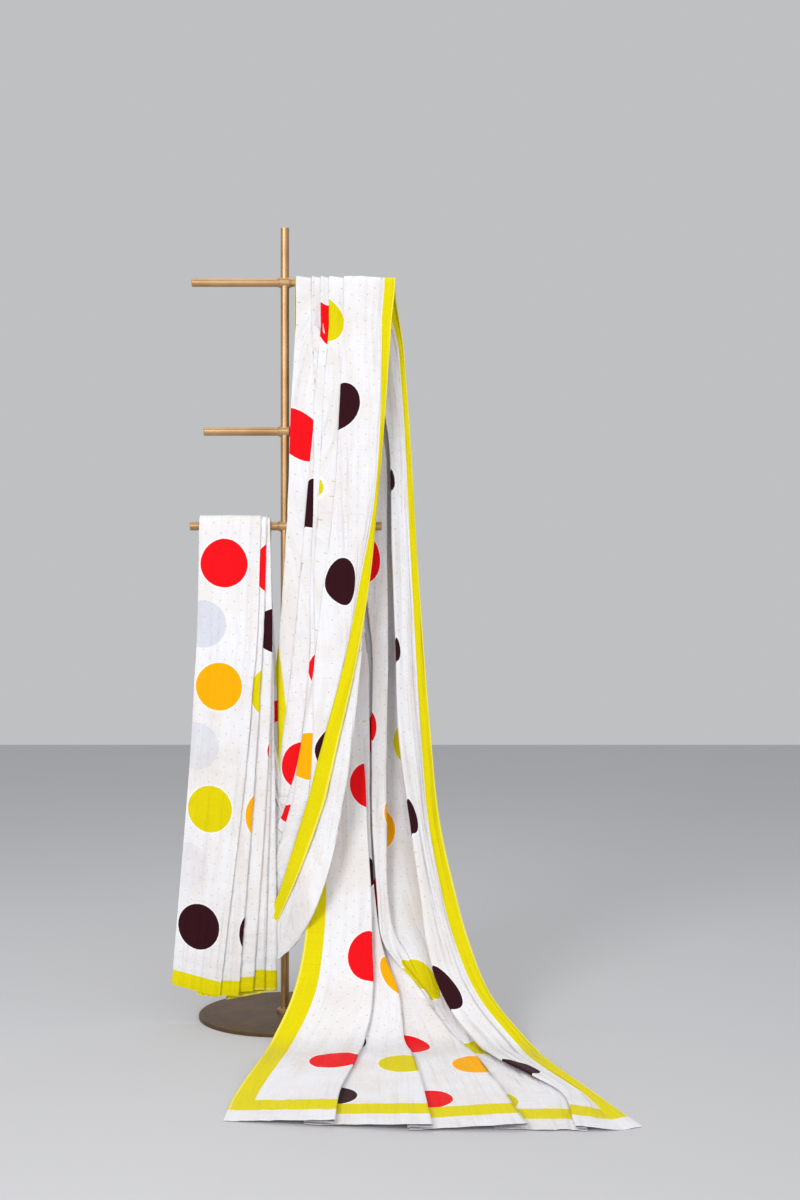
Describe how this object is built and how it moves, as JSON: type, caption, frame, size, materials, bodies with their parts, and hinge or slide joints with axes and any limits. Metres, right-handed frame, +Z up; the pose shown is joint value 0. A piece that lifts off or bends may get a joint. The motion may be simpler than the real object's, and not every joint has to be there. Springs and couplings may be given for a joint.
{
  "type": "muslin saree on display stand",
  "caption": "Soft cotton saree with big spots and a plain border, draped over the arms of a round-based metal display stand, its end swept over the floor.",
  "frame": {"origin": "centre of the base disc's underside, on the floor", "axes": "+Z up along the pole, +X to the viewer's right along the arms, -Y towards the viewer, the way the saree's end sweeps over the floor"},
  "size_m": [0.936, 1.0182, 1.771],
  "materials": {
    "base_metal": "satin",
    "stand_metal": "satin",
    "muslin": "matte"
  },
  "bodies": {
    "root": {"base_disc": "base_metal", "foot_collar": "stand_metal", "pole": "stand_metal", "top_arm_left": "stand_metal", "top_arm_right": "stand_metal", "middle_arm_left": "stand_metal", "middle_arm_right": "stand_metal", "lower_arm_left": "stand_metal", "lower_arm_right": "stand_metal", "saree": "muslin"}
  },
  "joints": []
}
